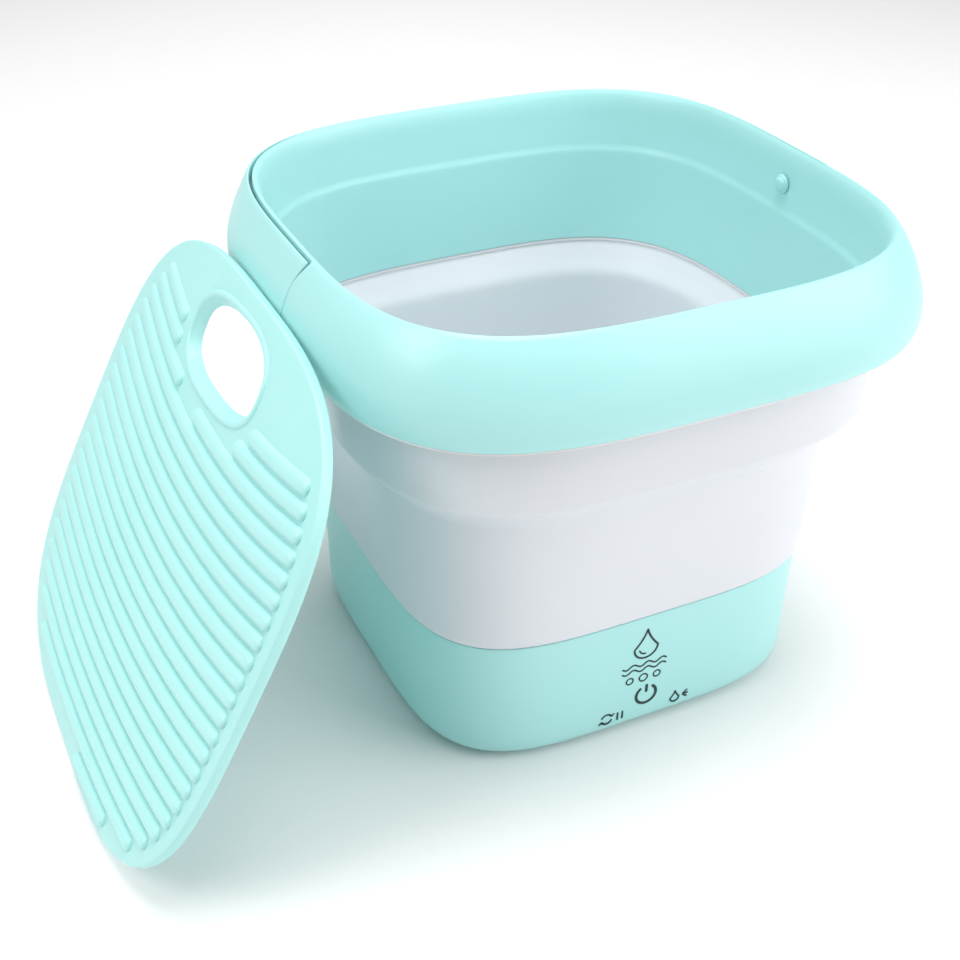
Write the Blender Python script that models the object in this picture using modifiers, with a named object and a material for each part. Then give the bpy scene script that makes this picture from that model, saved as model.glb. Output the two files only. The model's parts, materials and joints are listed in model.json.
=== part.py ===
# Portable folding mini washer with its washboard.
#
# A square-ish bucket whose flexible wall folds flat: a hard base that holds the motor, a stepped
# rubber wall, a hard rim, and a carrying handle that is the rear half of the rim's band. The
# washboard leans on the bucket's left side.
#
# Metres, +Z up. The feet stand on z = 0, the control panel faces -Y, and the origin is the middle of
# the floor under the bucket and washboard together. Run with: blender --background --python part.py

import math

import bmesh
import bpy
from mathutils import Matrix, Vector

# ---------------------------------------------------------------- driving dimensions
WASHER_X = 0.0670204  # the bucket's vertical axis, from the origin
GAP = 0.0003  # clearance between pieces that touch

BASE_N, RIM_N = 4.15, 3.47  # superellipse exponents of the base's and the rim's plan
BASE_FOOT_A, BASE_TOP_A, BASE_TOP_Z = 0.1180, 0.1194, 0.0802
BASE_WALL = 0.0026
RIM_TOP_Z, BAND_A, BAND_LOW_Z = 0.2731, 0.1612, 0.2240
LINER_TOP_A, LINER_STEP_A, LINER_LOW_A, LINER_LOW_Z = 0.1420, 0.1388, 0.1350, 0.1798
CUFF_A, CUFF_LOW_Z = 0.1430, 0.1797
TIER_LOW_A, TIER_LOW_Z, TIER_TOP_A, TIER_TOP_Z = 0.1225, 0.0870, 0.1275, 0.1600
WALL_T = 0.0022

PIVOT_Y, PIVOT_Z, PIVOT_R = -0.0005, 0.2530, 0.0030  # the handle's pins
SEAM_Y = -0.0183  # where the handle meets the fixed front of the band
HANDLE_END_R = PIVOT_Y - SEAM_Y - GAP
TONGUE_R = 0.0322

PULSATOR_R, PULSATOR_LOW_Z = 0.060, 0.0570
SHAFT_R = 0.0040
MOTOR_Y, MOTOR_R = 0.062, 0.0140
BIG_GROOVE_R, SMALL_GROOVE_R, BELT_R, BELT_Z = 0.0265, 0.0055, 0.0015, 0.0155

BOARD_A, BOARD_B, BOARD_N, BOARD_T = 0.1475, 0.1385, 3.47, 0.0060
BOARD_TILT = math.radians(27.85)
BOARD_CENTRE = (-0.2311, -0.0006, 0.12495)  # middle of its front face, from the bucket's axis
RIB_COUNT, RIB_PITCH, RIB_W, RIB_H, RIB_MARGIN = 22, 0.01052, 0.0082, 0.0022, 0.0116

N_PLAN = 40  # points round a squircle

# ---------------------------------------------------------------- scene and materials
for old in list(bpy.data.objects):
    bpy.data.objects.remove(old, do_unlink=True)

PARTS = bpy.data.collections.new("portable_mini_washer")
CUTTERS = bpy.data.collections.new("cutters")
bpy.context.scene.collection.children.link(PARTS)
bpy.context.scene.collection.children.link(CUTTERS)


def material(name, colour, roughness, metallic=0.0):
    made = bpy.data.materials.new(name)
    made.use_nodes = True
    shader = made.node_tree.nodes["Principled BSDF"]
    shader.inputs["Base Color"].default_value = (*colour, 1.0)
    shader.inputs["Roughness"].default_value = roughness
    shader.inputs["Metallic"].default_value = metallic
    return made


MINT = ((0.40, 0.83, 0.80), 0.30)
WHITE = ((0.86, 0.88, 0.90), 0.38)
STEEL = ((0.62, 0.62, 0.64), 0.28, 1.0)


def finish(obj, look):
    obj.data.materials.clear()
    obj.data.materials.append(material(obj.name + "_material", *look))
    if obj.type == "MESH":
        obj.data.shade_smooth()
        obj.data.set_sharp_from_angle(angle=math.radians(35))
    return obj


def keep(obj, look, cutter=False):
    """Puts an object in its collection, as a piece or as a cutter."""
    (CUTTERS if cutter else PARTS).objects.link(obj)
    if cutter:
        obj.hide_render = True
        obj.display_type = "WIRE"
        return obj
    return finish(obj, look)


def mesh_object(name, bm, look=WHITE, at=(0, 0, 0), cutter=False):
    bmesh.ops.recalc_face_normals(bm, faces=bm.faces)
    mesh = bpy.data.meshes.new(name)
    bm.to_mesh(mesh)
    bm.free()
    obj = bpy.data.objects.new(name, mesh)
    obj.location = at
    return keep(obj, look, cutter)


def cut(obj, tool, operation="DIFFERENCE"):
    boolean = obj.modifiers.new(operation.lower() + "_" + tool.name, "BOOLEAN")
    boolean.operation = operation
    boolean.solver = "EXACT"
    boolean.object = tool
    return obj


def bevel(obj, width, segments=1):
    made = obj.modifiers.new("bevel", "BEVEL")
    made.width = width
    made.segments = segments
    made.limit_method = "ANGLE"
    return obj


# ---------------------------------------------------------------- shapes
def squircle(a, n, count=N_PLAN, b=None):
    """Points round |x/a|^n + |y/b|^n = 1."""
    b = a if b is None else b
    points = []
    for i in range(count):
        c, s = math.cos(2 * math.pi * i / count), math.sin(2 * math.pi * i / count)
        points.append(
            (
                a * math.copysign(abs(c) ** (2 / n), c) if abs(c) > 1e-9 else 0.0,
                b * math.copysign(abs(s) ** (2 / n), s) if abs(s) > 1e-9 else 0.0,
            )
        )
    return points


def loft(name, sections, look=WHITE, closed=True, at=None, count=N_PLAN, cutter=False):
    """A skin over squircle sections (a, z, n): a closed ring of them, or a stack that is capped."""
    bm = bmesh.new()
    loops = [
        [bm.verts.new((x, y, z)) for x, y in squircle(a, n, count)]
        for a, z, n in sections
    ]
    pairs = list(zip(loops, loops[1:]))
    if closed:
        pairs.append((loops[-1], loops[0]))
    else:
        bm.faces.new(loops[0])
        bm.faces.new(loops[-1])
    for low, high in pairs:
        for i in range(count):
            j = (i + 1) % count
            bm.faces.new((low[i], low[j], high[j], high[i]))
    return mesh_object(name, bm, look, at or (WASHER_X, 0, 0), cutter)


def plan_n(z):
    """The plan's exponent at a height: squarer at the base than at the rim."""
    share = min(1.0, max(0.0, (z - BASE_TOP_Z) / 0.1))
    return BASE_N + (RIM_N - BASE_N) * share


def turned(name, profile, steps=24, look=WHITE, at=(0, 0, 0), turn=None, closed=False, cutter=False):
    """A profile (radius, height), outer side running down, turned about its own Z."""
    mesh = bpy.data.meshes.new(name)
    edges = [(i, i + 1) for i in range(len(profile) - 1)]
    if closed:
        edges.append((len(profile) - 1, 0))
    mesh.from_pydata([(r, 0, z) for r, z in profile], edges, [])
    obj = bpy.data.objects.new(name, mesh)
    screw = obj.modifiers.new("turn", "SCREW")
    screw.axis = "Z"
    screw.angle = 2 * math.pi
    screw.steps = screw.render_steps = steps
    screw.use_merge_vertices = True
    screw.merge_threshold = 1e-5
    screw.use_smooth_shade = True
    obj.location = at
    if turn:
        obj.rotation_euler = turn
    return keep(obj, look, cutter)


def rod(name, radius, length, at, axis="Z", segments=24, look=WHITE, cutter=False):
    """A cylinder centred on a point."""
    bm = bmesh.new()
    turn = {
        "X": Matrix.Rotation(math.pi / 2, 4, "Y"),
        "Y": Matrix.Rotation(math.pi / 2, 4, "X"),
        "Z": Matrix.Identity(4),
    }[axis]
    bmesh.ops.create_cone(
        bm, cap_ends=True, segments=segments, radius1=radius, radius2=radius, depth=length, matrix=turn
    )
    return mesh_object(name, bm, look, at, cutter)


def block(name, low, high, look=WHITE, cutter=False):
    """A box between two corners."""
    low, high = Vector(low), Vector(high)
    bm = bmesh.new()
    bmesh.ops.create_cube(bm, size=1.0)
    size = high - low
    bmesh.ops.scale(bm, vec=size, verts=bm.verts)
    return mesh_object(name, bm, look, (low + high) / 2, cutter)


def slab(name, outline, x0, x1, look=WHITE, cutter=False):
    """A flat (y, z) outline run along X."""
    bm = bmesh.new()
    ends = [[bm.verts.new((x, y, z)) for y, z in outline] for x in (x0, x1)]
    bm.faces.new(ends[0])
    bm.faces.new(ends[1])
    count = len(outline)
    for i in range(count):
        j = (i + 1) % count
        bm.faces.new((ends[0][i], ends[0][j], ends[1][j], ends[1][i]))
    return mesh_object(name, bm, look, (WASHER_X, 0, 0), cutter)


def smooth_route(points, spacing):
    """Even points along a Catmull-Rom curve through the given ones."""
    points = [Vector(p) for p in points]
    padded = [2 * points[0] - points[1], *points, 2 * points[-1] - points[-2]]
    fine = []
    for a, b, c, d in zip(padded, padded[1:], padded[2:], padded[3:]):
        for k in range(24):
            t = k / 24
            fine.append(
                0.5 * (2 * b + (c - a) * t + (2 * a - 5 * b + 4 * c - d) * t * t + (3 * b - a - 3 * c + d) * t**3)
            )
    fine.append(points[-1])
    total = sum((q - p).length for p, q in zip(fine, fine[1:]))
    wanted = max(2, round(total / spacing))
    out, travelled, target = [fine[0]], 0.0, total / wanted
    for p, q in zip(fine, fine[1:]):
        step = (q - p).length
        while travelled + step >= target and len(out) < wanted:
            out.append(p.lerp(q, (target - travelled) / step))
            target += total / wanted
        travelled += step
    out.append(fine[-1])
    return out


def tube(name, points, radius, look, cyclic=False, at=(0, 0, 0)):
    """A round wire or belt on a POLY curve."""
    curve = bpy.data.curves.new(name, "CURVE")
    curve.dimensions = "3D"
    curve.bevel_depth = radius
    curve.bevel_resolution = 1
    curve.use_fill_caps = not cyclic
    spline = curve.splines.new("POLY")
    spline.points.add(len(points) - 1)
    for point, p in zip(spline.points, points):
        point.co = (*p, 1.0)
    spline.use_cyclic_u = cyclic
    obj = bpy.data.objects.new(name, curve)
    obj.location = at
    return keep(obj, look)


def on_axis(x=0.0, y=0.0, z=0.0):
    """A place given from the bucket's axis."""
    return (WASHER_X + x, y, z)


# ---------------------------------------------------------------- base: shell, cover, floor, feet
base_shell = loft(
    "base_shell",
    [
        (0.1000, 0.0015, BASE_N),
        (0.1052, 0.0015, BASE_N),
        (0.1115, 0.0023, BASE_N),
        (0.1156, 0.0056, BASE_N),
        (BASE_FOOT_A, 0.0104, BASE_N),
        (BASE_TOP_A, BASE_TOP_Z, BASE_N),
        (BASE_TOP_A - BASE_WALL, BASE_TOP_Z, BASE_N),
        (BASE_TOP_A - BASE_WALL, 0.0664, BASE_N),
        (0.1125, 0.0664, BASE_N),  # ledge that carries the tub floor
        (0.1125, 0.0642, BASE_N),
        (0.1164, 0.0610, BASE_N),
        (0.1152, 0.0112, BASE_N),
        (0.1128, 0.0070, BASE_N),
        (0.1085, 0.0048, BASE_N),
        (0.1000, 0.0045, BASE_N),
    ],
    MINT,
)
INLET = (0.045, 0.025)  # x and z of the power inlet in the rear wall
cut(base_shell, rod("inlet_hole", 0.0056, 0.02, on_axis(INLET[0], 0.1170, INLET[1]), "Y", 20, cutter=True))

POSTS = [(x, y) for x in (-0.084, 0.084) for y in (-0.045, 0.045)]
FEET = [(x, y) for x in (-0.066, 0.066) for y in (-0.066, 0.066)]

bottom_cover = loft(
    "bottom_cover",
    [(0.0990, 0.0015, BASE_N), (0.0997, 0.0020, BASE_N), (0.0997, 0.0045, BASE_N)],
    WHITE,
    closed=False,
)
for i, (x, y) in enumerate([(-0.074, -0.024), (-0.074, 0.024), (-0.046, -0.024), (-0.046, 0.024)]):
    cut(bottom_cover, rod(f"board_standoff_{i}", 0.0025, 0.0070, on_axis(x, y, 0.0067), segments=10, cutter=True), "UNION")
for i, (x, y) in enumerate(FEET):
    cut(bottom_cover, rod(f"foot_pocket_{i}", 0.0094, 0.0040, on_axis(x, y, 0.0008), segments=20, cutter=True))
for i, (x, y) in enumerate(POSTS):
    cut(
        bottom_cover,
        turned(
            f"screw_pocket_{i}",
            [(0, 0.010), (0.0019, 0.010), (0.0019, 0.0033), (0.0041, 0.0033), (0.0041, -0.002), (0, -0.002)],
            12,
            at=on_axis(x, y),
            cutter=True,
        ),
    )

tub_floor = loft(
    "tub_floor",
    [
        (0.1165, 0.0697, BASE_N),
        (0.1108, 0.0697, BASE_N),
        (0.1060, 0.0640, 3.6),
        (0.0680, 0.0625, 2.0),
        (0.0645, 0.0560, 2.0),
        (0.0150, 0.0556, 2.0),
        (0.0080, 0.0556, 2.0),
        (0.0080, 0.0285, 2.0),
        (0.0130, 0.0285, 2.0),
        (0.0134, 0.0528, 2.0),
        (0.0655, 0.0532, 2.0),
        (0.0705, 0.0600, 2.0),
        (0.1045, 0.0612, 3.6),
        (0.1090, 0.0667, BASE_N),
        (0.1165, 0.0667, BASE_N),
    ],
    WHITE,
)
for i, (x, y) in enumerate(POSTS):
    cut(tub_floor, rod(f"post_{i}", 0.0045, 0.0570, on_axis(x, y, 0.0335), segments=12, cutter=True), "UNION")
for i, x in enumerate((-0.026, 0.026)):
    cut(tub_floor, rod(f"motor_post_{i}", 0.0040, 0.0320, on_axis(x, MOTOR_Y, 0.0388), segments=12, cutter=True), "UNION")
for i, (x, y) in enumerate(POSTS):
    cut(tub_floor, rod(f"post_pilot_{i}", 0.0019, 0.0200, on_axis(x, y, 0.0060), segments=12, cutter=True))
for i, x in enumerate((-0.026, 0.026)):
    cut(tub_floor, rod(f"motor_pilot_{i}", 0.0015, 0.0200, on_axis(x, MOTOR_Y, 0.0230), segments=10, cutter=True))
LAMP = (0.0, -0.086)
cut(tub_floor, rod("lamp_hole", 0.0064, 0.0200, on_axis(*LAMP, 0.0620), segments=20, cutter=True))

wall_clamp_lower = loft(
    "wall_clamp_lower",
    [(a, z, BASE_N) for a, z in ((0.1118, 0.0701), (0.1139, 0.0701), (0.1139, 0.0788), (0.1130, 0.0794), (0.1118, 0.0790))],
    WHITE,
)

for name, (x, y) in zip(("foot_left_front", "foot_left_rear", "foot_right_front", "foot_right_rear"), FEET):
    turned(
        name,
        [(0, 0.0025), (0.0091, 0.0025), (0.0091, 0.0012), (0.0086, 0.0), (0, 0.0)],
        16,
        ((0.25, 0.27, 0.28), 0.8),
        on_axis(x, y),
    )

SCREW_PROFILE = [(0, 0.0142), (0.0012, 0.0142), (0.0015, 0.0130), (0.0015, 0.0030), (0.0037, 0.0030), (0.0037, 0.0018), (0.0030, 0.0012), (0, 0.0012)]
for name, (x, y) in zip(("cover_screw_left_front", "cover_screw_left_rear", "cover_screw_right_front", "cover_screw_right_rear"), POSTS):
    turned(name, SCREW_PROFILE, 8, STEEL, on_axis(x, y))

# ---------------------------------------------------------------- drive: motor, belt, shaft, pulsator
turned(
    "motor_can",
    [(0, 0.0500), (0.0120, 0.0500), (MOTOR_R, 0.0485), (MOTOR_R, 0.0228), (0.0045, 0.0228), (0.0045, 0.0212), (0.0018, 0.0212), (0.0018, 0.0260), (0, 0.0260)],
    24,
    STEEL,
    on_axis(0, MOTOR_Y),
)
motor_bracket = block("motor_bracket", on_axis(-0.033, 0.046, 0.0203), on_axis(0.033, 0.078, 0.0225), ((0.60, 0.61, 0.63), 0.35, 1.0))
cut(motor_bracket, rod("motor_boss_hole", 0.0049, 0.02, on_axis(0, MOTOR_Y, 0.0214), segments=20, cutter=True))
for side, x in (("left", -0.026), ("right", 0.026)):
    cut(motor_bracket, rod(f"motor_screw_hole_{side}", 0.0015, 0.02, on_axis(x, MOTOR_Y, 0.0214), segments=10, cutter=True))
    turned(
        f"motor_screw_{side}",
        [(0, 0.0310), (0.0011, 0.0310), (0.0011, 0.0200), (0.0028, 0.0200), (0.0028, 0.0184), (0, 0.0184)],
        10,
        STEEL,
        on_axis(x, MOTOR_Y),
    )

turned("motor_shaft", [(0, 0.0255), (0.0014, 0.0255), (0.0014, 0.0100), (0, 0.0100)], 12, STEEL, on_axis(0, MOTOR_Y))
turned(
    "motor_pulley",
    [(0.0017, 0.0195), (0.0078, 0.0195), (0.0078, 0.0186), (SMALL_GROOVE_R, 0.0176), (SMALL_GROOVE_R, 0.0134), (0.0078, 0.0124), (0.0078, 0.0115), (0.0017, 0.0115)],
    16,
    ((0.75, 0.76, 0.76), 0.45),
    on_axis(0, MOTOR_Y),
    closed=True,
)
turned(
    "drive_pulley",
    [(0.0043, 0.0240), (0.0085, 0.0240), (0.0085, 0.0197), (0.0300, 0.0195), (0.0300, 0.0186), (BIG_GROOVE_R, 0.0176), (BIG_GROOVE_R, 0.0134), (0.0300, 0.0124), (0.0300, 0.0115), (0.0043, 0.0115)],
    24,
    ((0.75, 0.76, 0.76), 0.45),
    on_axis(),
    closed=True,
)


def belt_route():
    """The line round both grooves: an arc on each pulley, joined by the straight outer tangents."""
    big, small = BIG_GROOVE_R + BELT_R + GAP, SMALL_GROOVE_R + BELT_R + GAP
    lean = math.acos((big - small) / MOTOR_Y)
    points = []
    for k in range(17):
        angle = math.pi / 2 + lean + (2 * math.pi - 2 * lean) * k / 16
        points.append((big * math.cos(angle), big * math.sin(angle), BELT_Z))
    for k in range(9):
        angle = math.pi / 2 - lean + 2 * lean * k / 8
        points.append((small * math.cos(angle), MOTOR_Y + small * math.sin(angle), BELT_Z))
    return points


tube("drive_belt", belt_route(), BELT_R, ((0.05, 0.05, 0.05), 0.7), True, on_axis())

turned("drive_shaft", [(0, 0.0668), (0.0036, 0.0668), (SHAFT_R, 0.0660), (SHAFT_R, 0.0100), (0, 0.0100)], 16, STEEL, on_axis())
for name, low, high, look in (
    ("shaft_bush_lower", 0.0290, 0.0360, ((0.72, 0.55, 0.30), 0.4, 1.0)),
    ("shaft_bush_upper", 0.0420, 0.0490, ((0.72, 0.55, 0.30), 0.4, 1.0)),
    ("shaft_seal", 0.0496, 0.0552, ((0.06, 0.06, 0.06), 0.6)),
):
    turned(name, [(0.0044, high), (0.0076, high), (0.0076, low), (0.0044, low)], 16, look, on_axis(), closed=True)

pulsator = turned(
    "pulsator",
    [(0, 0.0743), (0.0088, 0.0743), (0.0088, 0.0760), (0.0115, 0.0765), (0.0150, 0.0735), (0.0240, 0.0672), (0.0420, 0.0640), (0.0560, 0.0632), (PULSATOR_R, 0.0615), (PULSATOR_R, 0.0585), (0.0585, PULSATOR_LOW_Z), (0.0044, PULSATOR_LOW_Z), (0.0044, 0.0672), (0, 0.0672)],
    24,
    WHITE,
    on_axis(),
)
for i in range(6):
    turn = 2 * math.pi * i / 6
    fin = bmesh.new()
    stations = [(0.012, 0.0030, 0.0735), (0.022, 0.0042, 0.0722), (0.038, 0.0050, 0.0700), (0.050, 0.0046, 0.0672), (0.056, 0.0030, 0.0638)]
    rows = []
    for r, half, top in stations:
        bend = 0.30 * (r - 0.012) / 0.044  # the fins sweep back as they run out
        c, s = math.cos(turn + bend), math.sin(turn + bend)
        rows.append([fin.verts.new((r * c - w * s, r * s + w * c, z)) for w, z in ((-half, 0.0600), (-half * 0.75, top - 0.0022), (0, top), (half * 0.75, top - 0.0022), (half, 0.0600))])
    fin.faces.new(rows[0])
    fin.faces.new(rows[-1])
    for near, far in zip(rows, rows[1:]):
        for k in range(5):
            m = (k + 1) % 5
            fin.faces.new((near[k], near[m], far[m], far[k]))
    cut(pulsator, mesh_object(f"pulsator_fin_{i}", fin, at=on_axis(), cutter=True), "UNION")
turned("pulsator_cap", [(0, 0.0785), (0.0040, 0.0782), (0.0075, 0.0768), (0.0084, 0.0752), (0.0084, 0.0747), (0, 0.0747)], 16, MINT, on_axis())

# ---------------------------------------------------------------- electrics
control_board = block("control_board", on_axis(-0.078, -0.028, 0.0105), on_axis(-0.042, 0.028, 0.0121), ((0.04, 0.25, 0.12), 0.45))
cut(control_board, rod("board_capacitor", 0.0045, 0.0130, on_axis(-0.066, -0.014, 0.0180), segments=14, cutter=True), "UNION")
cut(control_board, block("board_connector", on_axis(-0.058, 0.010, 0.0115), on_axis(-0.046, 0.020, 0.0180), cutter=True), "UNION")
block("touch_board", on_axis(-0.034, -0.1147, 0.0120), on_axis(0.034, -0.1131, 0.0580), ((0.04, 0.25, 0.12), 0.45))
block("lamp_board", on_axis(LAMP[0] - 0.010, LAMP[1] - 0.007, 0.0570), on_axis(LAMP[0] + 0.010, LAMP[1] + 0.007, 0.0586), ((0.04, 0.25, 0.12), 0.45))
turned("lamp_lens", [(0, 0.0644), (0.0046, 0.0642), (0.0060, 0.0634), (0.0060, 0.0592), (0, 0.0592)], 20, ((0.75, 0.85, 0.95), 0.1), on_axis(*LAMP))
turned(
    "power_inlet",
    [(0, 0.0060), (0.0010, 0.0060), (0.0010, -0.0040), (0.0029, -0.0040), (0.0029, 0.0072), (0.0052, 0.0072), (0.0052, -0.0120), (0, -0.0120)],
    20,
    ((0.05, 0.05, 0.06), 0.4),
    on_axis(INLET[0], 0.1120, INLET[1]),
    (-math.pi / 2, 0, 0),
)

WIRE = ((0.45, 0.05, 0.04), 0.5)
for name, route in (
    ("motor_lead", [(0.0105, 0.0700, 0.0506), (0.0060, 0.0840, 0.0510), (-0.020, 0.0880, 0.040), (-0.045, 0.0700, 0.026), (-0.052, 0.040, 0.021), (-0.052, 0.0150, 0.0196)]),
    ("power_lead", [(0.045, 0.0985, 0.025), (0.038, 0.0930, 0.0300), (0.010, 0.0900, 0.0330), (-0.030, 0.0930, 0.0160), (-0.060, 0.0700, 0.0110), (-0.068, 0.0400, 0.0130), (-0.0680, 0.0200, 0.0136)]),
    ("touch_lead", [(-0.030, -0.1115, 0.0300), (-0.036, -0.1030, 0.0280), (-0.050, -0.0800, 0.0200), (-0.056, -0.0500, 0.0150), (-0.056, -0.0200, 0.0136)]),
):
    tube(name, smooth_route(route, 0.0085), 0.0012, WIRE, at=on_axis())

# ---------------------------------------------------------------- the flexible wall
loft(
    "wall_fold_lower",
    [(0.1142, 0.0700, BASE_N), (0.1160, 0.0700, BASE_N), (0.1160, 0.0808, BASE_N), (0.1224, 0.0866, BASE_N), (0.1204, 0.0867, BASE_N), (0.1142, 0.0826, BASE_N)],
    WHITE,
)
loft(
    "wall_tier",
    [
        (TIER_LOW_A - WALL_T, TIER_LOW_Z, BASE_N),
        (TIER_LOW_A, TIER_LOW_Z, BASE_N),
        (0.1252, 0.1240, BASE_N),
        (TIER_TOP_A, TIER_TOP_Z, 4.0),
        (TIER_TOP_A - WALL_T, TIER_TOP_Z, 4.0),
        (0.1229, 0.1240, BASE_N),
    ],
    WHITE,
)
loft(
    "wall_fold_upper",
    [(0.1253, 0.1603, 4.0), (0.1276, 0.1603, 4.0), (0.1340, 0.1690, 3.7), (0.1391, 0.1793, RIM_N), (0.1378, 0.1800, RIM_N), (0.1322, 0.1712, 3.7)],
    WHITE,
)
loft(
    "wall_cuff",
    [
        (CUFF_A - 0.0028, 0.2285, RIM_N),
        (CUFF_A - 0.0028, 0.1860, RIM_N),
        (0.1388, 0.1828, RIM_N),
        (0.1386, 0.1806, RIM_N),
        (0.1402, CUFF_LOW_Z, RIM_N),
        (0.1422, 0.1802, RIM_N),
        (CUFF_A, 0.1836, RIM_N),
        (CUFF_A, 0.2285, RIM_N),
    ],
    WHITE,
)
loft(
    "wall_clamp_upper",
    [(a, z, RIM_N) for a, z in ((0.1434, 0.2200), (0.1456, 0.2200), (0.1456, 0.2280), (0.1434, 0.2280))],
    WHITE,
)

# ---------------------------------------------------------------- rim: liner, lip and the fixed front of the band
BAND_OUT = [(0.1477, 0.2713), (0.1508, 0.2664), (0.1536, 0.2612), (0.1563, 0.2550), (0.1586, 0.2483), (0.1604, 0.2415), (BAND_A, 0.2350), (0.1610, 0.2290), (0.1595, BAND_LOW_Z)]
BAND_IN = [(0.1570, 0.2243), (0.1583, 0.2295), (0.1587, 0.2350), (0.1579, 0.2405), (0.1562, 0.2470), (0.1540, 0.2535), (0.1512, 0.2598)]


def seam_line(offset):
    """The end of the fixed band, bottom to top: upright, then leaning forward near the top."""
    line = [(SEAM_Y, 0.2100), (SEAM_Y, 0.2555), (-0.0200, 0.2600), (-0.0232, 0.2645), (-0.0272, 0.2690), (-0.0290, 0.2760)]
    return [(y + offset, z) for y, z in line]


rim_ring = loft(
    "rim_ring",
    [
        (LINER_LOW_A, LINER_LOW_Z + 0.0004, RIM_N),
        (0.1376, 0.2376, RIM_N),
        (LINER_STEP_A, 0.2395, RIM_N),
        (LINER_TOP_A, 0.2662, RIM_N),
        (0.1427, 0.2717, RIM_N),
        (0.1438, RIM_TOP_Z, RIM_N),
        (0.1453, RIM_TOP_Z, RIM_N),
        (0.1462, 0.2720, RIM_N),
        (0.1462, 0.2330, RIM_N),
        (0.1397, 0.2290, RIM_N),
        (0.1370, LINER_LOW_Z, RIM_N),
    ],
    MINT,
)
front_band = loft(
    "front_band_tool",
    [(a, z, RIM_N) for a, z in [(0.1450, 0.2727), (0.1462, 0.2724), *BAND_OUT, *BAND_IN, (0.1485, 0.2645), (0.1462, 0.2668), (0.1450, 0.2668)]],
    cutter=True,
)
cut(front_band, slab("rear_of_band", seam_line(0) + [(0.22, 0.2760), (0.22, 0.2100)], -0.2, 0.2, cutter=True))
for side, x in (("left", -1), ("right", 1)):
    # room behind the band's skin for the handle's rounded ends to turn in
    cut(front_band, rod(f"end_relief_{side}", TONGUE_R + 0.0008, 0.0024, on_axis(x * 0.1472, PIVOT_Y, PIVOT_Z), "X", 32, cutter=True))
cut(rim_ring, front_band, "UNION")
for side, x in (("left", -1), ("right", 1)):
    cut(rim_ring, rod(f"pin_hole_{side}", PIVOT_R + 0.0004, 0.0200, on_axis(x * 0.1430, PIVOT_Y, PIVOT_Z), "X", 16, cutter=True))
    turned(
        f"pivot_pin_{side}",
        # shaft outwards, domed head on the liner's inner face
        [(0, 0.0131), (PIVOT_R, 0.0131), (PIVOT_R, -0.0001), (0.0052, -0.0001), (0.0050, -0.0012), (0.0034, -0.0026), (0, -0.0032)],
        16,
        MINT,
        on_axis(x * 0.1396, PIVOT_Y, PIVOT_Z),
        (0, x * math.pi / 2, 0),
    )

# ---------------------------------------------------------------- handle: the rear of the band, with pivot bosses
handle = loft(
    "handle",
    [(a, z, RIM_N) for a, z in [*BAND_OUT, *BAND_IN, (0.1490, 0.2638), (0.1477, 0.2652)]],
    MINT,
)
end_arc = [
    (PIVOT_Y - HANDLE_END_R * math.cos(math.radians(t)), PIVOT_Z + HANDLE_END_R * math.sin(math.radians(t)))
    for t in range(0, 91, 15)
]
cut(handle, slab("front_of_handle", [(SEAM_Y + GAP, 0.2100), *end_arc, (PIVOT_Y, 0.2800), (-0.22, 0.2800), (-0.22, 0.2100)], -0.2, 0.2, cutter=True))

corner_profile = [(0.1466, 0.2480), (0.1554, 0.2480), (0.1536, 0.2535), (0.1508, 0.2598), (0.1481, 0.2645), (0.1480, 0.2690), (0.1474, 0.2710), (0.1466, 0.2710)]
turn_limit = [(-math.sqrt(TONGUE_R**2 - (z - PIVOT_Z) ** 2), z) for z in (0.2705, 0.2716)]
corner_region = slab("handle_end_region", [*seam_line(GAP)[:4], (-0.0262, 0.2685), *turn_limit, (0.0080, 0.2716), (0.0080, 0.2100)], -0.2, 0.2, cutter=True)
for side, x in (("left", -1), ("right", 1)):
    bm = bmesh.new()
    ends = [[bm.verts.new((x * a, y, z)) for a, z in corner_profile] for y in (-0.0320, 0.0060)]
    bm.faces.new(ends[0])
    bm.faces.new(ends[1])
    for i in range(len(corner_profile)):
        j = (i + 1) % len(corner_profile)
        bm.faces.new((ends[0][i], ends[0][j], ends[1][j], ends[1][i]))
    corner = mesh_object(f"handle_end_{side}", bm, at=on_axis(), cutter=True)
    cut(corner, corner_region, "INTERSECT")
    cut(handle, corner, "UNION")
    cut(handle, rod(f"pivot_boss_{side}", 0.0065, 0.0068, on_axis(x * 0.1500, PIVOT_Y, PIVOT_Z), "X", 20, cutter=True), "UNION")
for side, x in (("left", -1), ("right", 1)):
    cut(handle, rod(f"boss_bore_{side}", PIVOT_R + 0.0004, 0.0094, on_axis(x * 0.1485, PIVOT_Y, PIVOT_Z), "X", 16, cutter=True))
# its origin is on the pins' axis
handle.data.transform(Matrix.Translation((0, -PIVOT_Y, -PIVOT_Z)))
handle.location = on_axis(0, PIVOT_Y, PIVOT_Z)

# ---------------------------------------------------------------- washboard
board_turn = Matrix(
    (
        (0, math.sin(BOARD_TILT), -math.cos(BOARD_TILT)),
        (-1, 0, 0),
        (0, math.cos(BOARD_TILT), math.sin(BOARD_TILT)),
    )
).to_4x4()
board_place = Matrix.Translation(on_axis(*BOARD_CENTRE)) @ board_turn

bm = bmesh.new()
loops = [
    [bm.verts.new((x, y, z)) for x, y in squircle(BOARD_A - inset, BOARD_N, 48, BOARD_B - inset)]
    for inset, z in ((0.0014, -BOARD_T), (0.0, -BOARD_T + 0.0014), (0.0, -0.0012), (0.0012, 0.0))
]
bm.faces.new(loops[0])
bm.faces.new(loops[-1])
for low, high in zip(loops, loops[1:]):
    for i in range(48):
        j = (i + 1) % 48
        bm.faces.new((low[i], low[j], high[j], high[i]))
washboard = mesh_object("washboard", bm, MINT)
washboard.matrix_world = board_place

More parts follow.
